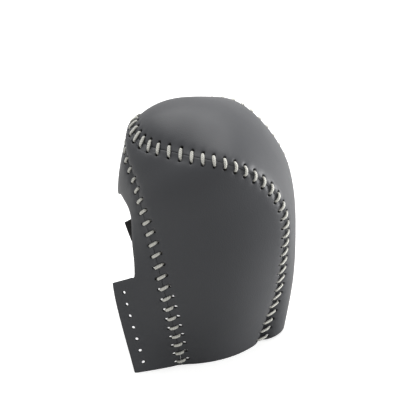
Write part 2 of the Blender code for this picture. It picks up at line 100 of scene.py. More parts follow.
def white_to_camera(tree, strength_elsewhere):
    """Socket with 1 for camera, mirrors and glass, and the given strength for all other light."""
    rays = tree.nodes.new("ShaderNodeLightPath")
    seen = rays.outputs["Is Camera Ray"]
    for kind in ("Is Glossy Ray", "Is Transmission Ray"):
        either = tree.nodes.new("ShaderNodeMath")
        either.operation = "MAXIMUM"
        tree.links.new(seen, either.inputs[0])
        tree.links.new(rays.outputs[kind], either.inputs[1])
        seen = either.outputs[0]
    spread = tree.nodes.new("ShaderNodeMapRange")
    spread.inputs["To Min"].default_value = strength_elsewhere
    spread.inputs["To Max"].default_value = 1.0
    tree.links.new(seen, spread.inputs["Value"])
    return spread.outputs[0]


def blank_material(name):
    """A new material, with its node tree and its shader."""
    material = bpy.data.materials.new(name)
    material.use_nodes = True
    return material, material.node_tree, material.node_tree.nodes["Principled BSDF"]


world = bpy.data.worlds.new("white_sweep")
bpy.context.scene.world = world
world.use_nodes = True
background = world.node_tree.nodes["Background"]
background.inputs["Color"].default_value = WHITE
world.node_tree.links.new(
    white_to_camera(world.node_tree, WORLD_STRENGTH), background.inputs["Strength"]
)

floor_mesh = bpy.data.meshes.new("floor")
floor_corners = [(-1, -1), (1, -1), (1, 1), (-1, 1)]
floor_mesh.from_pydata(
    [(x * FLOOR_SIDE / 2, y * FLOOR_SIDE / 2, 0) for x, y in floor_corners], [], [(0, 1, 2, 3)]
)
floor = bpy.data.objects.new("floor", floor_mesh)
bpy.context.scene.collection.objects.link(floor)
floor_paper, floor_tree, floor_shader = blank_material("floor_paper")
floor_shader.inputs["Base Color"].default_value = FLOOR_COLOUR
floor_shader.inputs["Roughness"].default_value = 1.0
floor_shader.inputs["Specular IOR Level"].default_value = 0.0
floor_shader.inputs["Emission Color"].default_value = WHITE
floor_rays = floor_tree.nodes.new("ShaderNodeLightPath")
floor_lift = floor_tree.nodes.new("ShaderNodeMath")
floor_lift.operation = "MULTIPLY"
floor_lift.inputs[1].default_value = FLOOR_LIFT
floor_tree.links.new(floor_rays.outputs["Is Camera Ray"], floor_lift.inputs[0])
floor_tree.links.new(floor_lift.outputs[0], floor_shader.inputs["Emission Strength"])
floor_mesh.materials.append(floor_paper)

for name, place, size, watts in SOFTBOXES:
    lamp = bpy.data.lights.new(name, "AREA")
    lamp.shape = "RECTANGLE"
    lamp.size, lamp.size_y = size
    lamp.energy = watts
    softbox = bpy.data.objects.new(name, lamp)
    softbox.location = place
    softbox.rotation_euler = (Vector(place) - SOFTBOX_TARGET).to_track_quat("Z", "Y").to_euler()
    bpy.context.scene.collection.objects.link(softbox)


# Cap panel
# A tongue of black hide that lies over the dome and runs down the spine to the rim, cut round at
# the front. It is butted against the side panel and hand-laced to it through oval holes along its
# whole edge, and the lacing draws that edge in at the nose and down the spine.
MM = 0.001
HIDE = 1.2
SEAM_GAP = 0.06
HOLE_SIZE = (0.66, 0.88)  # half the hole, along the seam and across it
TRIM = 4.0  # how far the pattern goes on below the rim, where it is cut off
ENTRY = 0.5  # from the place where the thread goes in to the middle of the hole
CAP_STITCH_ROWS = (  # number of the stitch, its place along the seam from the front tip
    (-35, -149.3),
    (-20, -84.6),
    (-1, -2.9),
    (0, 1.5),
    (1, 5.8),
    (4, 17.8),
    (7, 32.2),
    (12, 54.5),
    (18, 82.9),
    (22, 100.3),
    (27, 122.8),
    (33, 149.3),
)
CAP_MARGIN = 2.35  # from the seam to the middle of a hole
CAP_SLANT = -0.62  # from the stitch to its hole, along the seam
CAP_SUNK_ROWS = (  # distance along the seam, how far the edge is drawn in there
    (0, 0.6), (12, 0.5), (22, 0.1), (30, 0), (38, 0), (52, 0.9), (64, 1),
)
HEEL_RISE = 2.4  # of the rim, from the seam to the back of the spine
SPINE_ROWS = (  # x, z, radius of the bow across the tongue
    (-52.4, 90.3, 17.5),
    (-44.6, 95.5, 24.0),
    (-31.6, 98.1, 32.5),
    (-14.8, 94.1, 63.0),
    (0.2, 81.5, 83.0),
    (8.7, 64.3, 100.0),
    (10.6, 45.0, 43.0),
    (10.1, 24.2, 18.0),
    (6.7, 0.0, 9.6),
    (6.1, -TRIM, 9.2),
)
TONGUE_ROWS = (  # distance from the front tip, half the width there
    (0.0, 0.0),
    (0.6, 7.8),
    (4.4, 16.0),
    (11.2, 21.1),
    (20.0, 24.4),
    (31.0, 27.4),
    (44.0, 27.8),
    (66.0, 21.5),
    (92.0, 18.0),
    (120.0, 14.6),
    (146.0, 14.2),
)
FRONT_SEAM_ROWS = (  # x, y, z of the near half, from the middle of the nose to the rim
    (-54.8, 0, 83.8),
    (-54.5, -9.8, 80.7),
    (-50.9, -18, 74.9),
    (-47.4, -25, 67),
    (-43.3, -28.2, 54.9),
    (-39.3, -31.1, 39.3),
    (-35.2, -32.1, 21),
    (-32, -28.4, 0),
    (-31.5, -27.7, -TRIM),
)
SIDE_SWELL = (0.9, 3.4, 7.0, 6.5, 4.0)  # height, from the middle of the front to the rim
SIDE_SIZE = (120.0, 40.0)  # along the panel, across it

# How finely curves are walked and surfaces are covered with points
SAMPLES = 1500
NUDGE = 0.02
PROJECTIONS = 5
SEAM_SAMPLES = 4  # to the millimetre
CHUNK = 2000  # points worked on at a time
GRID_STEP = 1.15
EDGE_STEP = 0.55
CLEAR = 0.5  # between the grid and the points beside edges and holes
CAP_FOOT_POINTS = 40
EDGE_ROWS = (0.04, 0.12, 0.28, 0.6, 1.0)  # distances of the rows beside a laced edge
HOLE_RINGS = (0.04, 0.1, 0.22, 0.5)  # distances of the rings round a hole
HOLE_CORNERS = 16
CUT_TOLERANCE = 1e-7
SMOOTH_UP_TO = math.radians(50)

# Shape of a laced edge: depths and heights, each with the distance in which it fades
EDGE_ROUND = 0.28
HOLE_ROUND = 0.22
VALLEY, VALLEY_WIDTH = 0.14, 1.5  # along the row of holes
PRESSED, PRESSED_LENGTH = 0.32, 0.8  # under each stitch
PRESSED_PAST = 0.3  # from the hole to the end of the trough
DRAWN_DOWN = 0.25  # added to the trough where the edge is drawn in
RIDGE, RIDGE_WIDTH = 0.2, 1.6  # between stitches, where the edges press together
GROOVE, GROOVE_WIDTH = 1.25, 1.3  # between stitches, where the edge is drawn in
RIPPLE, RIPPLE_FROM, RIPPLE_WIDTH = 0.1, 1.2, 1.5  # beyond the holes
DIMPLE, DIMPLE_WIDTH = 0.12, 1.4  # round each hole
SEAM_TURN = 1.6  # in which the relief turns from the seam's normal to the panel's


def unit(vectors):
    """The same vectors with a length of one."""
    return vectors / np.linalg.norm(vectors, axis=-1, keepdims=True)


def lengths_along(points):
    """Distance walked from the first of a row of points to each of them."""
    steps = np.linalg.norm(np.diff(points, axis=0), axis=1)
    return np.concatenate([[0], np.cumsum(steps)])


def natural_spline(knots, values):
    """Cubic pieces through the values that join with equal slope and bend, straight at the ends."""
    gap = np.diff(knots)
    slope = np.diff(values, axis=0) / gap[:, None]
    matrix = np.eye(len(knots))
    target = np.zeros_like(values)
    for i in range(1, len(knots) - 1):
        matrix[i, i - 1:i + 2] = gap[i - 1], 2 * (gap[i - 1] + gap[i]), gap[i]
        target[i] = 6 * (slope[i] - slope[i - 1])
    bend = np.linalg.solve(matrix, target)

    def value(x):
        x = np.asarray(x, float)
        i = np.clip(np.searchsorted(knots, x) - 1, 0, len(gap) - 1)
        h = gap[i][..., None]
        p = (knots[i + 1] - x)[..., None] / h
        q = 1 - p
        cubic = ((p ** 3 - p) * bend[i] + (q ** 3 - q) * bend[i + 1]) * h ** 2 / 6
        return p * values[i] + q * values[i + 1] + cubic

    return value


class Curve:
    """Spline through rows of numbers, walked by the length that its first, measured columns make,
    from the row that counts as zero."""

    def __init__(self, rows, measured=3, zero_row=0):
        rows = np.array(rows, float)
        knots = lengths_along(rows[:, :measured])
        self.spline = natural_spline(knots, rows)
        self.scale = np.linspace(0, knots[-1], SAMPLES)
        length = lengths_along(self.spline(self.scale)[:, :measured])
        self.length = length - np.interp(knots[zero_row], self.scale, length)

    def at(self, s):
        """Points at the lengths s, which may lie a little past the ends."""
        beyond = s - np.clip(s, self.length[0], self.length[-1])
        return self.spline(np.interp(s, self.length, self.scale) + beyond)

    def slope(self, s):
        """Difference between the points a nudge ahead and a nudge back."""
        return self.at(np.asarray(s) + NUDGE) - self.at(np.asarray(s) - NUDGE)


def mirrored(rows, *sides):
    """Rows from the mirror plane outwards, after their image with the named columns negated."""
    rows = np.array(rows, float)
    image = rows[:0:-1].copy()
    image[:, list(sides)] *= -1
    return np.vstack([image, rows])


spine_line = Curve([(x, z, 1 / radius) for x, z, radius in SPINE_ROWS], measured=2)


def tongue(along, across):
    """A strip bent along the spine line, and bowed across it in circular arcs of varying radius."""
    x, z, curl = spine_line.at(along).T
    lean = unit(spine_line.slope(along)[..., :2])
    turn = curl * across
    drop = (1 - np.cos(turn)) / curl
    return np.stack([x + drop * lean[..., 1], -np.sin(turn) / curl, z - drop * lean[..., 0]], -1)


class CapSeam:
    """Edge of the tongue in space, walked by its length from the front tip."""

    def __init__(self):
        tip = len(TONGUE_ROWS) - 1
        self.outline = Curve(mirrored(TONGUE_ROWS, 1), measured=2, zero_row=tip)
        self.edge = np.linspace(self.outline.length[0], self.outline.length[-1], SAMPLES)
        length = lengths_along(tongue(*self.outline.at(self.edge).T))
        self.length = length - length[-1] / 2

    def chart(self, s):
        """Numbers along and across the tongue of its own edge."""
        beyond = s - np.clip(s, self.length[0], self.length[-1])
        return self.outline.at(np.interp(s, self.length, self.edge) + beyond)

    def at(self, s):
        """Points of the edge at the lengths s."""
        return tongue(*self.chart(s).T)

    def slope(self, s):
        """Difference between the points a nudge ahead and a nudge back."""
        return self.at(np.asarray(s) + NUDGE) - self.at(np.asarray(s) - NUDGE)


def even(rows):
    """Spline through values at even steps from the middle of the front to either rim, as a
    function of the share of the way."""
    values = np.array(rows, float)[:, None]
    spline = natural_spline(np.linspace(0, 1, len(values)), values)
    return lambda share: spline(np.clip(np.abs(share), 0, 1))


def swelled(start, end, share, along, height):
    """Straight lines from start to end, raised between them to a parabola of the given height."""
    out = unit(np.cross(along, end - start))
    rise = 4 * share * (1 - share)
    return start + share[:, None] * (end - start) + rise[:, None] * height * out


class Panel:
    """A sheet surface of two chart numbers, its outward side, and the rough size of its chart."""

    def __init__(self, surface, outward, stretch):
        self.surface = surface
        self.outward = outward
        self.stretch = np.array(stretch, float)

    def at(self, chart):
        """Points of the surface."""
        chart = np.asarray(chart, float)
        return self.surface(chart[:, 0], chart[:, 1])

    def slopes(self, chart):
        """Change of the surface with each chart number, from a nudge ahead and a nudge back."""
        step = NUDGE / self.stretch
        ahead = np.array([[step[0], 0], [0, step[1]]])
        return [(self.at(chart + d) - self.at(chart - d)) / (2 * d.sum()) for d in ahead]

    def normal(self, chart):
        """Outward direction, square to both slopes."""
        first, second = self.slopes(chart)
        return self.outward * unit(np.cross(first, second))

    def locate(self, guess, target):
        """Chart numbers of the surface points nearest to the targets, by repeated projection."""
        chart = np.array(guess, float)
        for _ in range(PROJECTIONS):
            first, second = self.slopes(chart)
            miss = target - self.at(chart)
            a, b, c = (first * first).sum(1), (first * second).sum(1), (second * second).sum(1)
            d, e = (first * miss).sum(1), (second * miss).sum(1)
            bottom = a * c - b * b
            chart += np.stack([(c * d - b * e) / bottom, (a * e - b * d) / bottom], 1)
        return chart


def along_rows(s, rows):
    """Straight lines between rows of distance from a seam's middle and value, on both sides."""
    return np.interp(np.abs(s), *np.transpose(rows))


def hole_ring(panel, centres, along, size, grown):
    """Chart loops round hole centres: ellipses, their first axis along the seam, grown outwards."""
    normal = panel.normal(centres)
    across = unit(np.cross(normal, along))
    forward = np.cross(across, normal)
    angle = ((np.arange(HOLE_CORNERS) + 0.5) * 2 * np.pi / HOLE_CORNERS)[:, None]
    offset = (size[0] + grown) * np.cos(angle) * forward[:, None]
    offset = offset + (size[1] + grown) * np.sin(angle) * across[:, None]
    target = panel.at(centres)[:, None] + offset
    guess = np.repeat(centres, HOLE_CORNERS, axis=0)
    return panel.locate(guess, target.reshape(-1, 3)).reshape(len(centres), HOLE_CORNERS, 2)


def punched(panel, centres, along, size):
    """Rims of a row of holes, and the rings round them with their distances from the rims."""
    rings = [(hole_ring(panel, centres, along, size, grown), grown) for grown in HOLE_RINGS]
    return hole_ring(panel, centres, along, size, 0.0), rings


class LacedEdge:
    """One laced edge of a panel: its seam, the chart numbers along it, the places of its stitches,
    how far its holes are shifted along the seam from them, their distance from the seam, and how
    far the edge is drawn in between the stitches, from 0 to 1."""

    def __init__(self, panel, seam, chart_of, seam_normal, inward, stitches, shift, margin, sunk):
        self.panel, self.seam, self.chart_of, self.inward = panel, seam, chart_of, inward
        self.seam_normal = seam_normal
        self.end = seam.length[-1]
        self.places = np.linspace(-self.end, self.end, int(2 * self.end / EDGE_STEP))
        self.stitches = stitches
        self.shift = shift * np.sign(stitches)
        self.margin = margin * np.ones(len(stitches))
        self.sunk = sunk
        self.holes_at = stitches + self.shift
        self.hole_chart = self.inset(self.holes_at, self.margin[:, None])
        self.hole_along = unit(seam.slope(self.holes_at))

    def inset(self, s, distance):
        """Chart numbers of the points at a distance from the seam, measured along the surface."""
        chart = self.chart_of(s)
        along = unit(self.seam.slope(s))
        into = self.inward * unit(np.cross(self.panel.normal(chart), along))
        return self.panel.locate(chart, self.seam.at(s) + distance * into)

    def cut(self):
        """The cut edge from end to end, half a gap from the seam."""
        return self.inset(self.places, SEAM_GAP / 2)

    def rows(self):
        """Rows of points beside the cut edge, with their distances from it."""
        return [(self.inset(self.places[2:-2], SEAM_GAP / 2 + d), d) for d in EDGE_ROWS]

    def holes(self):
        """Rims of the lacing holes, and the rings round them."""
        return punched(self.panel, self.hole_chart, self.hole_along, HOLE_SIZE)


def within(points, loop):
    """Whether each point lies in a closed loop: a line from it to one side crosses the loop an odd
    number of times."""
    start, end = loop, np.roll(loop, -1, axis=0)
    sloping = start[:, 1] != end[:, 1]
    start, end = start[sloping], end[sloping]
    run, rise = (end - start).T
    inside = np.empty(len(points), bool)
    for first in range(0, len(points), CHUNK):
        x, y = points[first:first + CHUNK].T[..., None]
        meets = start[:, 0] + (y - start[:, 1]) * run / rise
        crossed = ((start[:, 1] > y) != (end[:, 1] > y)) & (x < meets)
        inside[first:first + CHUNK] = crossed.sum(1) % 2 == 1
    return inside


def nearest(points, targets):
    """For each point, the number of the nearest target and the distance to it."""
    index = np.empty(len(points), int)
    away = np.empty(len(points))
    for first in range(0, len(points), CHUNK):
        part = points[first:first + CHUNK]
        square = (part ** 2).sum(1)[:, None] + (targets ** 2).sum(1) - 2 * part @ targets.T
        best = square.argmin(1)
        index[first:first + CHUNK] = best
        away[first:first + CHUNK] = np.sqrt(np.maximum(square[np.arange(len(part)), best], 0))
    return index, away


def laced_relief(points, normals, edges):
    """Height that lacing gives the leather, and the direction in which it acts. Bell curves of the
    distances make a valley along each row of holes, a trough under each stitch, between stitches a
    ridge or, where the edge is drawn in, a groove, short ripples beyond the holes and a dimple
    round each. The direction turns from the panel's normal to that of the seam, so that the cut
    edges stay face to face."""
    height = np.zeros(len(points))
    towards = normals.copy()
    for edge in edges:
        s = np.linspace(-edge.end, edge.end, SEAM_SAMPLES * int(2 * edge.end))
        index, away = nearest(points, edge.seam.at(s))
        shift, margin, sunk = (
            np.interp(s[index], edge.stitches, values)
            for values in (edge.shift, edge.margin, edge.sunk)
        )
        lean = shift * np.minimum(away / margin, 1)
        stitch = np.abs((s[index] - lean)[:, None] - edge.stitches).min(1)
        trough = np.exp(-(stitch / PRESSED_LENGTH) ** 2)
        pressed = (PRESSED + DRAWN_DOWN * sunk) * trough
        beyond = away - margin - RIPPLE_FROM
        _, hole = nearest(points, edge.panel.at(edge.hole_chart))
        height -= VALLEY * np.exp(-((away - margin) / VALLEY_WIDTH) ** 2)
        height -= pressed * np.exp(-(away / (margin + PRESSED_PAST)) ** 4)
        height += RIDGE * (1 - sunk) * (1 - trough) * np.exp(-(away / RIDGE_WIDTH) ** 2)
        height -= GROOVE * sunk * (1 - trough) * np.exp(-(away / GROOVE_WIDTH) ** 2)
        height += RIPPLE * (0.5 - trough) * np.exp(-(beyond / RIPPLE_WIDTH) ** 2)
        height -= DIMPLE * np.exp(-(hole / DIMPLE_WIDTH) ** 2)
        share = np.exp(-(away / SEAM_TURN) ** 2)[:, None]
        towards = unit((1 - share) * towards + share * edge.seam_normal(s)[index])
    return height, towards


def rounding(radius, distance):
    """How far a quarter-round edge lies below the surface, at a distance from the cut."""
    return radius - math.sqrt(radius ** 2 - max(radius - distance, 0) ** 2)


def grid_over(panel, outline):
    """Staggered rows of chart points inside an outline, about a grid step apart on the surface."""
    low, high = outline.min(0), outline.max(0)
    columns = np.arange(low[0], high[0], GRID_STEP / panel.stretch[0])
    lines = np.arange(low[1], high[1], GRID_STEP / panel.stretch[1])
    a, b = np.meshgrid(columns, lines, indexing="ij")
    a = a + 0.5 * (columns[1] - columns[0]) * (np.arange(len(lines)) % 2)
    places = panel.at(np.stack([a.ravel(), b.ravel()], 1)).reshape(*a.shape, 3)
    wide = np.linalg.norm(np.diff(places, axis=1), axis=2).mean(1)
    stride = np.clip(np.round(GRID_STEP / np.maximum(wide, 1e-3)), 1, None)
    thinned = (np.arange(len(lines)) % stride[:, None].astype(int)) == 0
    grid = np.stack([a[thinned], b[thinned]], 1)
    return grid[within(grid, outline)]


def cut_panel(name, panel, outline, edges, holes, rows, rim_at=0.0, rim_slope=0.0):
    """One panel as a closed mesh. Outline, holes, the rings round them, the rows beside its laced
    edges and a grid are triangulated in the chart, placed on the surface, given the lacing's relief
    and rounded edges, and thickened. The rim is cut by the plane z = rim_slope (x - rim_at)."""
    rims = [rim for rim, _ in holes]
    rings = [ring for _, rings_round in holes for ring in rings_round]
    rounded = [(outline, EDGE_ROUND)]
    rounded += [(rim.reshape(-1, 2), HOLE_ROUND) for rim in rims]
    rounded += [(ring.reshape(-1, 2), rounding(HOLE_ROUND, grown)) for ring, grown in rings]
    rounded += [(row, rounding(EDGE_ROUND, distance)) for row, distance in rows]
    fixed = np.concatenate([points for points, _ in rounded])
    centres = [panel.at(rim.mean(1)) for rim in rims]
    hole_reach = max(
        np.linalg.norm(panel.at(rim[:, 0]) - centre, axis=1).max()
        for rim, centre in zip(rims, centres)
    )
    grid = grid_over(panel, outline)
    grid = grid[nearest(panel.at(grid), panel.at(fixed))[1] > CLEAR]
    grid = grid[nearest(panel.at(grid), np.concatenate(centres))[1] > hole_reach + CLEAR]
    chart = np.concatenate([fixed, grid])
    drop = np.concatenate([np.full(len(points), depth) for points, depth in rounded + [(grid, 0)]])

    loops = [np.arange(len(outline))[None]]
    hole_of = -1 - np.arange(len(chart))
    start, hole = len(outline), 0
    for rim in rims:
        count, corners = rim.shape[:2]
        loops.append(start + np.arange(count * corners).reshape(count, corners))
        hole_of[loops[-1]] = hole + np.arange(count)[:, None]
        start += count * corners
        hole += count
    cuts = np.concatenate([
        np.stack([loop, np.roll(loop, -1, axis=1)], -1).reshape(-1, 2) for loop in loops
    ])
    flat = [Vector(point) for point in chart * panel.stretch]
    _, _, triangles, origin, _, _ = delaunay_2d_cdt(
        flat, [tuple(cut) for cut in cuts.tolist()], [], 0, CUT_TOLERANCE, True
    )
    triangles = np.array([same[0] for same in origin])[np.array(triangles)]
    in_hole = (hole_of[triangles] == hole_of[triangles][:, :1]).all(1)
    triangles = triangles[within(chart[triangles].mean(1), outline) & ~in_hole]

    surface = panel.at(chart)
    height, towards = laced_relief(surface, panel.normal(chart), edges)
    outside = surface + (height - drop)[:, None] * towards
    under = surface + (height - HIDE + drop)[:, None] * towards
    points = np.concatenate([outside, under]) + (pattern_shift, 0, 0)
    count = len(chart)
    pairs = np.concatenate([triangles[:, [0, 1]], triangles[:, [1, 2]], triangles[:, [2, 0]]])
    forward = pairs[:, 0] * count + pairs[:, 1]
    backward = pairs[:, 1] * count + pairs[:, 0]
    near, far = pairs[~np.isin(forward, backward)].T
    walls = np.stack([far, near, near + count, far + count], 1)
    faces = triangles.tolist() + (triangles[:, ::-1] + count).tolist() + walls.tolist()

    mesh = bpy.data.meshes.new(name)
    mesh.from_pydata((points * MM).tolist(), [], faces)
    sides = np.zeros(len(faces), np.int32)
    sides[len(triangles):] = 1
    mesh.polygons.foreach_set("material_index", sides)
    shape = bmesh.new()
    shape.from_mesh(mesh)
    bmesh.ops.bisect_plane(
        shape, geom=shape.verts[:] + shape.edges[:] + shape.faces[:], clear_outer=True,
        plane_co=(rim_at, 0, 0), plane_no=Vector((rim_slope, 0, -1)).normalized(),
    )
    rim = [edge for edge in shape.edges if edge.is_boundary]
    for face in bmesh.ops.holes_fill(shape, edges=rim, sides=0)["faces"]:
        face.material_index = 1
    bmesh.ops.triangulate(shape, faces=[face for face in shape.faces if len(face.verts) > 4])
    bmesh.ops.recalc_face_normals(shape, faces=shape.faces)
    shape.to_mesh(mesh)
    shape.free()
    mesh.shade_smooth()
    mesh.set_sharp_from_angle(angle=SMOOTH_UP_TO)
    piece = bpy.data.objects.new(name, mesh)
    bpy.context.scene.collection.objects.link(piece)
    return piece


cap_seam = CapSeam()
cap_end = cap_seam.length[-1]
front_seam = Curve(mirrored(FRONT_SEAM_ROWS, 1), zero_row=len(FRONT_SEAM_ROWS) - 1)
front_end = front_seam.length[-1]
side_height = even(SIDE_SWELL)


def flank(way, share):
    """Lines from the front seam to the cap seam, swelled between them. Way is 0 at the front and
    1 at the near rim, and share runs from the front seam to the cap seam."""
    start = front_seam.at(way * front_end)
    end = cap_seam.at(way * cap_end)
    along = unit(front_seam.slope(way * front_end)) + unit(cap_seam.slope(way * cap_end))
    return swelled(start, end, share, along, side_height(way))


cap = Panel(tongue, -1, (1, 1))
side = Panel(flank, 1, SIDE_SIZE)


def side_by_cap(s):
    """Chart numbers of the side panel along the cap seam."""
    return np.stack([s / cap_end, np.ones_like(s)], 1)


def cap_seam_normal(s):
    """Direction that halves the angle between cap panel and side panel, along their seam."""
    return unit(cap.normal(cap_seam.chart(s)) + side.normal(side_by_cap(s)))


def stitch_places(rows):
    """Places of whole-numbered stitches on a spline through the rows."""
    rows = np.array(rows, float)
    numbers = np.arange(rows[0, 0], rows[-1, 0] + 1)
    return natural_spline(rows[:, 0], rows[:, 1:])(numbers)[:, 0]


cap_stitches = stitch_places(CAP_STITCH_ROWS)
cap_edge = LacedEdge(
    cap, cap_seam, cap_seam.chart, cap_seam_normal, 1, cap_stitches, CAP_SLANT, CAP_MARGIN,
    along_rows(cap_stitches, CAP_SUNK_ROWS),
)

# The pattern is moved along x until the back of its spine is at the back of the real one, and the
# rim's heel begins to rise at the seam
spine_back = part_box("cap_panel")[1].x
pattern_shift = spine_back / MM - spine_line.at(spine_line.length)[:, 0].max()
heel_from = (cap_seam.at([cap_end])[0, 0] + pattern_shift) * MM

cap_cut = cap_edge.cut()
across_foot = np.linspace(cap_cut[-1, 1], cap_cut[0, 1], CAP_FOOT_POINTS)[1:-1]
cap_foot = np.stack([np.full(len(across_foot), cap_cut[-1, 0]), across_foot], 1)
cap_panel = cut_panel(
    "cap_leather", cap, np.concatenate([cap_cut, cap_foot]), [cap_edge], [cap_edge.holes()],
    cap_edge.rows(), heel_from, HEEL_RISE * MM / (spine_back - heel_from),
)

# Finish of the hide: drum-dyed black, with a fine pebbled grain and a satin topcoat that is a
# little worn in patches. The same finish is on all three panels, and the flesh side is left rough.
LEATHER_COLOUR = (0.033, 0.0347, 0.0395, 1.0)
LEATHER_WORN = (0.041, 0.0427, 0.048, 1.0)
LEATHER_ROUGHNESS = (0.44, 0.54)
GRAIN_SIZE, GRAIN_DEPTH = 0.55, 0.06
PORE_SIZE, PORE_DEPTH = 0.171875, 0.02
CREASE_SIZE, CREASE_DEPTH = 2.4, 0.12
PATCH_SIZE = 14.2857
FLESH_COLOUR = (0.030, 0.029, 0.029, 1.0)
FIBRE_COLOUR = (0.057, 0.0551, 0.0551, 1.0)
FIBRE_SIZE, FIBRE_DEPTH = 0.35, 0.08


def add_noise(tree, where, size, detail, **settings):
    """Soft noise with spots of about the given size."""
    noise = tree.nodes.new("ShaderNodeTexNoise")
    noise.inputs["Scale"].default_value = 1 / (size * MM)
    noise.inputs["Detail"].default_value = detail
    for setting, value in settings.items():
        noise.inputs[setting].default_value = value
    tree.links.new(where, noise.inputs["Vector"])
    return noise.outputs["Fac"]


def add_relief(tree, height, strength, depth, below=None):
    """Small relief of the given depth, laid over the relief below it."""
    relief = tree.nodes.new("ShaderNodeBump")
    relief.inputs["Strength"].default_value = strength
    relief.inputs["Distance"].default_value = depth * MM
    tree.links.new(height, relief.inputs["Height"])
    if below:
        tree.links.new(below.outputs[0], relief.inputs["Normal"])
    return relief


def add_colour(tree, share, first, second, shader):
    """Base colour that goes from the first colour to the second with the share."""
    colour = tree.nodes.new("ShaderNodeMix")
    colour.data_type = "RGBA"
    colour.inputs["A"].default_value = first
    colour.inputs["B"].default_value = second
    tree.links.new(share, colour.inputs["Factor"])
    tree.links.new(colour.outputs["Result"], shader.inputs["Base Color"])


def leather_finish(name):
    """Pebbles from a smooth cell pattern, pores and short creases from noise, and broad patches in
    colour and gloss."""
    material, tree, shader = blank_material(name)
    where = tree.nodes.new("ShaderNodeTexCoord").outputs["Object"]
    pebbles = tree.nodes.new("ShaderNodeTexVoronoi")
    pebbles.feature = "SMOOTH_F1"
    pebbles.inputs["Scale"].default_value = 1 / (GRAIN_SIZE * MM)
    pebbles.inputs["Smoothness"].default_value = 0.35
    tree.links.new(where, pebbles.inputs["Vector"])
    pores = add_noise(tree, where, PORE_SIZE, 3)
    creases = add_noise(tree, where, CREASE_SIZE, 4, Roughness=0.6)
    patches = add_noise(tree, where, PATCH_SIZE, 3)

    add_colour(tree, patches, LEATHER_COLOUR, LEATHER_WORN, shader)
    gloss = tree.nodes.new("ShaderNodeMapRange")
    gloss.inputs["From Min"].default_value = 0.3
    gloss.inputs["From Max"].default_value = 0.7
    gloss.inputs["To Min"].default_value = LEATHER_ROUGHNESS[0]
    gloss.inputs["To Max"].default_value = LEATHER_ROUGHNESS[1]
    tree.links.new(patches, gloss.inputs["Value"])
    tree.links.new(gloss.outputs[0], shader.inputs["Roughness"])
    shader.inputs["Specular IOR Level"].default_value = 0.46
    shader.inputs["Sheen Weight"].default_value = 0.04

    coarse = add_relief(tree, creases, 0.25, CREASE_DEPTH)
    grain = add_relief(tree, pebbles.outputs["Distance"], 0.35, GRAIN_DEPTH, coarse)
    grain.invert = True
    fine = add_relief(tree, pores, 0.2, PORE_DEPTH, grain)
    tree.links.new(fine.outputs[0], shader.inputs["Normal"])
    return material


def flesh_finish(name):
    """Matt underside and cut edge of the hide, with fibres from distorted noise."""
    material, tree, shader = blank_material(name)
    where = tree.nodes.new("ShaderNodeTexCoord").outputs["Object"]
    fibres = add_noise(tree, where, FIBRE_SIZE, 5, Distortion=0.6)
    add_colour(tree, fibres, FLESH_COLOUR, FIBRE_COLOUR, shader)
    shader.inputs["Roughness"].default_value = 0.92
    shader.inputs["Specular IOR Level"].default_value = 0.2
    nap = add_relief(tree, fibres, 0.5, FIBRE_DEPTH)
    tree.links.new(nap.outputs[0], shader.inputs["Normal"])
    return material


grain_side = leather_finish("smooth_black_hide")
flesh_side = flesh_finish("flesh_side_of_hide")
cap_panel.data.materials.append(grain_side)
cap_panel.data.materials.append(flesh_side)
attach(cap_panel, "root")
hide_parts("cap_panel")


# Front panel
# A piece of the same hide with the button window cut out of it, butted and laced to the side panel
# along its outer edge. Two legs run down beside the window to the flaps, whose straight free edges
# stand out a little and are punched for the thread that closes them on the lever.
REACH_ROWS = (  # distance along the seam, x, y, z of the line that the panel reaches
    (0.0, -58.3, 0.0, 59.3),
    (14.0, -58.2, -4.6, 57.4),
    (28.0, -57.7, -9.2, 53.8),
    (42.0, -57.8, -13.8, 48.6),
    (56.0, -58.5, -18.8, 41.5),
    (71.0, -58.9, -24.4, 33.3),
    (87.0, -54.6, -30.3, 16.0),
    (102.1, -49.6, -35.5, 0.0),
    (106.1, -48.3, -36.8, -TRIM),
)
FRONT_SWELL = (0.9, 1.0, 0.9, 0.5, 0.2)  # height, from the middle of the front to the rim
FRONT_WIDTH = 24.0
FRONT_STITCH_ROWS = (  # number of the stitch, its place along the seam from the nose
    (-24, -100.1),
    (-12, -48.5),
    (-1, -1.2),
    (0, 3.2),
    (3, 16.8),
    (8, 38.5),
    (12, 56.3),
    (17, 78.6),
    (22, 100.2),
)

# Rows of distance along the seam, and how far a hole is shifted along it from its stitch, how far
# the edge is drawn in, how slack the stitch is, and where the thread goes into the hide
FRONT_SLANT_ROWS = ((0, 0.1), (20, 0.15), (44, 0.66), (66, 0.68), (88, 0.36), (101, 0.15))
FRONT_SUNK_ROWS = ((0, 0.8), (20, 0.8), (36, 0.25), (46, 0))
SLACK_ROWS = ((58, 0), (64, 0.2), (74, 0.8), (80, 1))
FRONT_REACH_ROWS = ((0, 1.1), (22, 1.15), (40, 1.65), (58, 1.7), (75, 1.5), (101, 1.4))

WINDOW_ROWS = (  # distance along the seam, share of the way to the reach line
    (0.0, 0.985),
    (6.0, 0.94),
    (12.0, 0.79),
    (17.5, 0.63),
    (24.0, 0.51),
    (29.0, 0.415),
    (33.0, 0.39),
    (38.0, 0.435),
    (46.0, 0.515),
    (56.0, 0.525),
    (64.0, 0.545),
)
FLAP_TOP = (64.8, 70.9)  # distance along the seam at the leg, at the free edge
CORNER, CORNER_POINTS = 1.8, 7  # radius between the leg and the flap's top
CORNER_CLEAR = 0.4
FLAP_HOLES = 7
FLAP_HOLE_RADIUS = 0.6
FLAP_MARGIN = 4.3  # from the free edge to the middle of a hole
FLAP_FIRST, FLAP_LAST = 4.2, 3.1  # from the flap's top, and from the rim
FREE_STEP = 0.6
FRONT_FOOT_POINTS = 24


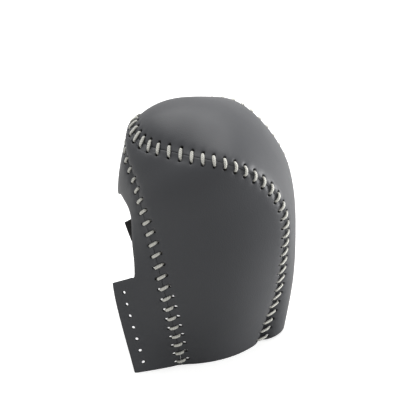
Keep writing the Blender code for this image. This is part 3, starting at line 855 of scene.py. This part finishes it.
reach_places = mirrored(REACH_ROWS, 0, 2)
reach_line = natural_spline(reach_places[:, 0], reach_places[:, 1:])
front_height = even(FRONT_SWELL)


def face(s, share):
    """Lines from the front seam to the reach line, swelled outwards between them."""
    along, height = -front_seam.slope(s), front_height(s / front_end)
    return swelled(front_seam.at(s), reach_line(s), share, along, height)


front = Panel(face, -1, (1, FRONT_WIDTH))


def window_edge():
    """Near half of the cut edge, from the rim up the free edge, along the flap's top, round its
    corner and up the window's side to the middle of the nose."""
    rows = mirrored(np.array(WINDOW_ROWS) * front.stretch, 0)
    window = Curve(rows, measured=2, zero_row=len(WINDOW_ROWS) - 1)
    walked = np.linspace(0, window.length[-1], int(window.length[-1] / FREE_STEP))
    edge = window.at(walked) / front.stretch
    free_count = int((front_end - FLAP_TOP[1]) / FREE_STEP)
    free = np.stack([np.linspace(front_end, FLAP_TOP[1], free_count), np.ones(free_count)], 1)
    bend = np.linspace(0, np.pi / 2, CORNER_POINTS)
    corner = np.stack([
        FLAP_TOP[0] - CORNER * (1 - np.cos(bend)),
        WINDOW_ROWS[-1][1] + CORNER / front.stretch[1] * (1 - np.sin(bend)),
    ], 1)
    top_count = int((1 - corner[0, 1]) * front.stretch[1] / FREE_STEP)
    top = free[-1] + np.linspace(0, 1, top_count + 1)[1:-1, None] * (corner[0] - free[-1])
    edge = edge[edge[:, 0] < FLAP_TOP[0] - CORNER - CORNER_CLEAR]
    return np.concatenate([free, top, corner, edge[::-1]])


def front_by_seam(s):
    """Chart numbers of the front panel along the front seam."""
    return np.stack([s, np.zeros_like(s)], 1)


def side_by_front(s):
    """Chart numbers of the side panel along the front seam."""
    return np.stack([s / front_end, np.zeros_like(s)], 1)


def front_seam_normal(s):
    """Direction that halves the angle between front panel and side panel, along their seam."""
    return unit(front.normal(front_by_seam(s)) + side.normal(side_by_front(s)))


front_stitches = stitch_places(FRONT_STITCH_ROWS)
front_slant = along_rows(front_stitches, FRONT_SLANT_ROWS)
front_reach = along_rows(front_stitches, FRONT_REACH_ROWS)
front_edge = LacedEdge(
    front, front_seam, front_by_seam, front_seam_normal, -1, front_stitches, front_slant,
    front_reach + ENTRY, along_rows(front_stitches, FRONT_SUNK_ROWS),
)

free_places = np.linspace(FLAP_TOP[1], front_end, SAMPLES)
free_line = front.at(np.stack([free_places, np.ones(SAMPLES)], 1))
free_length = lengths_along(free_line)
free_bottom = np.interp(0, -free_line[:, 2], free_length)
hole_lengths = np.linspace(FLAP_FIRST, free_bottom - FLAP_LAST, FLAP_HOLES)
beside_holes = np.stack(
    [np.interp(hole_lengths, free_length, free_places), np.ones(FLAP_HOLES)], 1
)
hole_along = unit(front.slopes(beside_holes)[0])
hole_inward = unit(np.cross(front.normal(beside_holes), hole_along))
hole_chart = front.locate(beside_holes, front.at(beside_holes) + FLAP_MARGIN * hole_inward)
flap_holes = punched(
    front, np.concatenate([hole_chart, hole_chart * (-1, 1)]),
    np.concatenate([hole_along, hole_along * (1, -1, 1)]), (FLAP_HOLE_RADIUS, FLAP_HOLE_RADIUS),
)

near_cut = window_edge()
whole_cut = np.concatenate([near_cut, near_cut[-2::-1] * (-1, 1)])
front_cut = front_edge.cut()
across_foot = np.linspace(front_cut[-1, 1], 1, FRONT_FOOT_POINTS)[1:-1]
near_foot = np.stack([np.full(len(across_foot), front_end), across_foot], 1)
front_panel = cut_panel(
    "front_leather", front,
    np.concatenate([front_cut, near_foot, whole_cut, near_foot[::-1] * (-1, 1)]),
    [front_edge], [front_edge.holes(), flap_holes], front_edge.rows(),
)
front_panel.data.materials.append(grain_side)
front_panel.data.materials.append(flesh_side)
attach(front_panel, "root")
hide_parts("front_panel")


# Side panel
# One horseshoe of the same hide that covers both flanks and passes round the front above the front
# seam. It is punched along both its edges, and laced to the cap panel above it and to the front
# panel below. The lowest holes of the front seam are pulled open.
OPEN_HOLE = 0.65  # further from the seam, where the stitches are slack
SIDE_FOOT_POINTS = 44

side_cap_edge = LacedEdge(
    side, cap_seam, side_by_cap, cap_seam_normal, -1, cap_stitches, -CAP_SLANT, CAP_MARGIN,
    cap_edge.sunk,
)
side_front_edge = LacedEdge(
    side, front_seam, side_by_front, front_seam_normal, 1, front_stitches, -front_slant,
    front_reach + ENTRY + OPEN_HOLE * along_rows(front_stitches, SLACK_ROWS), front_edge.sunk,
)
top_line = side_cap_edge.cut()
low_line = side_front_edge.cut()
down_foot = np.linspace(0, 1, SIDE_FOOT_POINTS)[1:-1, None]
side_outline = np.concatenate([
    top_line,
    top_line[-1] + down_foot * (low_line[-1] - top_line[-1]),
    low_line[::-1],
    low_line[0] + down_foot * (top_line[0] - low_line[0]),
])
side_panel = cut_panel(
    "side_leather", side, side_outline, [side_cap_edge, side_front_edge],
    [side_cap_edge.holes(), side_front_edge.holes()],
    side_cap_edge.rows() + side_front_edge.rows(),
)
side_panel.data.materials.append(grain_side)
side_panel.data.materials.append(flesh_side)
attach(side_panel, "root")
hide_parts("side_panel")


# Cap seam thread
# One light grey plaited and waxed thread laces the cap panel to the side panel. It comes up through
# a hole, lies flat across the butted edges, goes down the other hole and passes on to the next
# pair inside.
CAP_THREAD_WIDTH = 1.45
CAP_THREAD_ENDS = 0.75  # width where the thread bends into the holes, as a share
STRETCHED = 0.18  # share of the width lost where the edge is drawn in
THREAD_THICKNESS = 0.9
LEAST_THICK = 0.6  # share of the thickness that every narrow place keeps
THREAD_LIFT = 0.03  # between the thread and the hide
CROWN = 0.08  # least rise of a stitch over its ends
IN_HOLE = 0.6  # width in the hole, as a share
SHOULDERS = (  # share of the way across the seam, of the rise, and of the width
    (0.3, 0.84, 0.98),
    (0.5, 1.0, 1.0),
    (0.7, 0.84, 0.98),
)
INSIDE_AIR = 0.5  # between the hide's flesh side and the thread's hidden runs
TAIL = 3.5
ROUNDINGS = 3
RING_CORNERS = 14
PLAITS = 0.8  # length of one lobe of the plait
PLAIT_DEPTH = 0.02
STRAND_TURNS = (3.4, 1.2)  # across the thread, and from its face to its back
STRAND_DEPTH = 0.05
WAX_SIZE, WAX_SHARE = 0.22, 0.9
THREAD_COLOUR = (0.74, 0.735, 0.68, 1.0)
# painted shade: the darker colour that the thread takes between its strands, in the grooves of the
# plait
THREAD_GROOVE_SHADE = (0.45, 0.445, 0.40, 1.0)


def cut_corners(path):
    """Corner cutting: each step is replaced by the points at its first and last quarter."""
    start, end = path[:-1], path[1:]
    quarters = np.stack([0.75 * start + 0.25 * end, 0.25 * start + 0.75 * end], 1)
    return np.vstack([path[:1], quarters.reshape(-1, path.shape[1]), path[-1:]])


def sewn_thread(name, outer, inner, reach, widest, at_ends, sag):
    """A flat oval profile carried along the lacing path, with the small lobes of a plaited thread.
    The profile is widest over the seam, narrower where it bends into the holes, reach away from
    the seam, and sags by sag(s)."""
    s = outer.stitches
    along = unit(outer.seam.slope(s))
    up = outer.seam_normal(s)
    rest = THREAD_THICKNESS / 2 + THREAD_LIFT
    middle = outer.seam.at(s)
    middle = middle + (laced_relief(middle, up, [outer])[0] + rest)[:, None] * up
    ends = []
    for edge in (outer, inner):
        hole = edge.inset(edge.holes_at, reach[:, None])
        height, towards = laced_relief(edge.panel.at(hole), edge.panel.normal(hole), [edge])
        ends.append((edge.panel.at(hole) + height[:, None] * towards, towards))
    (first, first_up), (second, second_up) = ends
    first_bend = first + rest * first_up
    second_bend = second + rest * second_up
    rise = ((middle - (first_bend + second_bend) / 2) * up).sum(1)
    droop = sag(s)[:, None] * np.sign(s)[:, None] * along
    bow = np.maximum(rise, CROWN)[:, None] * up + droop
    low = -(HIDE + THREAD_THICKNESS / 2 + INSIDE_AIR)
    stations = [first + low * first_up, first - HIDE / 2 * first_up, first_bend]
    stations += [
        first_bend + way * (second_bend - first_bend) + lift * bow for way, lift, _ in SHOULDERS
    ]
    stations += [second_bend, second - HIDE / 2 * second_up, second + low * second_up]
    over_seam = [width for _, _, width in SHOULDERS]
    width = np.array([1.0, IN_HOLE, at_ends, *over_seam, at_ends, IN_HOLE, 1.0])
    path = np.stack(stations, 1).reshape(-1, 3)
    wide = (widest[:, None] * width).ravel()
    side_way = np.repeat(along, len(stations), axis=0)

    tail_in = unit(unit(first[0] - middle[0]) + along[0] - first_up[0])
    tail_out = unit(unit(second[-1] - middle[-1]) - along[-1] - second_up[-1])
    path = np.vstack([path[0] + TAIL * tail_in, path, path[-1] + TAIL * tail_out])
    wide = np.concatenate([wide[1:2], wide, wide[-2:-1]])
    side_way = np.vstack([along[:1], side_way, along[-1:]])
    track = np.hstack([path, wide[:, None], side_way])
    for _ in range(ROUNDINGS):
        track = cut_corners(track)
    path, wide, side_way = track[:, :3], track[:, 3], track[:, 4:]

    run = unit(np.gradient(path, axis=0))
    across = unit(side_way - (side_way * run).sum(1, keepdims=True) * run)
    over = np.cross(run, across)
    travelled = lengths_along(path)[:, None]
    thick = THREAD_THICKNESS * (LEAST_THICK + (1 - LEAST_THICK) * wide / widest.max())
    angle = np.arange(RING_CORNERS) * 2 * np.pi / RING_CORNERS
    lobe = 1 + PLAIT_DEPTH * np.cos(2 * angle + 2 * np.pi * travelled / PLAITS)
    a = (wide / 2)[:, None] * lobe * np.cos(angle)
    b = (thick / 2)[:, None] * lobe * np.sin(angle)
    rings = path[:, None] + a[..., None] * across[:, None] + b[..., None] * over[:, None]
    points = rings.reshape(-1, 3) + (pattern_shift, 0, 0)
    number = np.arange(len(points)).reshape(-1, RING_CORNERS)
    quads = np.stack([
        number[:-1], np.roll(number[:-1], -1, 1), np.roll(number[1:], -1, 1), number[1:],
    ], -1).reshape(-1, 4)
    faces = quads.tolist() + [number[0][::-1].tolist(), number[-1].tolist()]

    mesh = bpy.data.meshes.new(name)
    mesh.from_pydata((points * MM).tolist(), [], faces)
    plait = mesh.attributes.new("plait", "FLOAT_VECTOR", "POINT")
    place = np.stack(np.broadcast_arrays(travelled, np.cos(angle), np.sin(angle)), -1)
    plait.data.foreach_set("vector", place.astype(np.float32).ravel())
    shape = bmesh.new()
    shape.from_mesh(mesh)
    bmesh.ops.recalc_face_normals(shape, faces=shape.faces)
    shape.to_mesh(mesh)
    shape.free()
    mesh.shade_smooth()
    piece = bpy.data.objects.new(name, mesh)
    bpy.context.scene.collection.objects.link(piece)
    return piece


def thread_finish(name):
    """Two sets of slanting strands that cross, from sine waves of the plait attribute, with a
    little noise for fibres and wax.
    The colour darkens between the strands as painted shade in the plait's grooves, and the wax
    noise adds real tone."""
    material, tree, shader = blank_material(name)
    plait = tree.nodes.new("ShaderNodeAttribute")
    plait.attribute_name = "plait"
    strands = tree.nodes.new("ShaderNodeMath")
    strands.operation = "MAXIMUM"
    for slope, strand in zip((1.0, -1.0), strands.inputs):
        turned = tree.nodes.new("ShaderNodeVectorMath")
        turned.operation = "DOT_PRODUCT"
        across, over = STRAND_TURNS
        turned.inputs[1].default_value = (2.0 * math.pi / PLAITS, slope * across, over)
        tree.links.new(plait.outputs["Vector"], turned.inputs[0])
        wave = tree.nodes.new("ShaderNodeMath")
        wave.operation = "SINE"
        tree.links.new(turned.outputs["Value"], wave.inputs[0])
        tree.links.new(wave.outputs[0], strand)
    where = tree.nodes.new("ShaderNodeTexCoord").outputs["Object"]
    waxed = tree.nodes.new("ShaderNodeMath")
    waxed.operation = "MULTIPLY_ADD"
    waxed.inputs[1].default_value = WAX_SHARE
    tree.links.new(add_noise(tree, where, WAX_SIZE, 3), waxed.inputs[0])
    tree.links.new(strands.outputs[0], waxed.inputs[2])
    # Painted shade in the plait's grooves: the colour goes to the darker one between the strands,
    # and the wax noise adds real spots of tone.
    groove_shade_and_wax = tree.nodes.new("ShaderNodeMapRange")
    groove_shade_and_wax.inputs["From Min"].default_value = -0.1
    groove_shade_and_wax.inputs["From Max"].default_value = 1.3
    tree.links.new(waxed.outputs[0], groove_shade_and_wax.inputs["Value"])
    add_colour(tree, groove_shade_and_wax.outputs[0], THREAD_GROOVE_SHADE, THREAD_COLOUR, shader)
    shader.inputs["Roughness"].default_value = 0.6
    shader.inputs["Specular IOR Level"].default_value = 0.35
    relief = add_relief(tree, waxed.outputs[0], 0.5, STRAND_DEPTH)
    tree.links.new(relief.outputs[0], shader.inputs["Normal"])
    return material


waxed_thread = thread_finish("waxed_grey_thread")
cap_thread = sewn_thread(
    "cap_seam_thread", cap_edge, side_cap_edge, cap_edge.margin - ENTRY,
    CAP_THREAD_WIDTH * (1 - STRETCHED * cap_edge.sunk), CAP_THREAD_ENDS, np.zeros_like,
)
cap_thread.data.materials.append(waxed_thread)
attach(cap_thread, "root")
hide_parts("cap_seam_lace")


# Front seam thread
# The same thread laces the front panel to the side panel, from rim to rim over the nose. Its
# stitches slant, and the lowest ones lie nearly level and hang a little slack towards the rim.
FRONT_THREAD_WIDTH = 1.25
FRONT_THREAD_ENDS = 0.9
SLACK = 0.14


def slack(s):
    """How far the middle of each stitch hangs towards the rim."""
    return SLACK * along_rows(s, SLACK_ROWS)


front_thread = sewn_thread(
    "front_seam_thread", front_edge, side_front_edge, front_reach,
    FRONT_THREAD_WIDTH * (1 - STRETCHED * front_edge.sunk), FRONT_THREAD_ENDS, slack,
)
front_thread.data.materials.append(waxed_thread)
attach(front_thread, "root")
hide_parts("front_seam_lace")
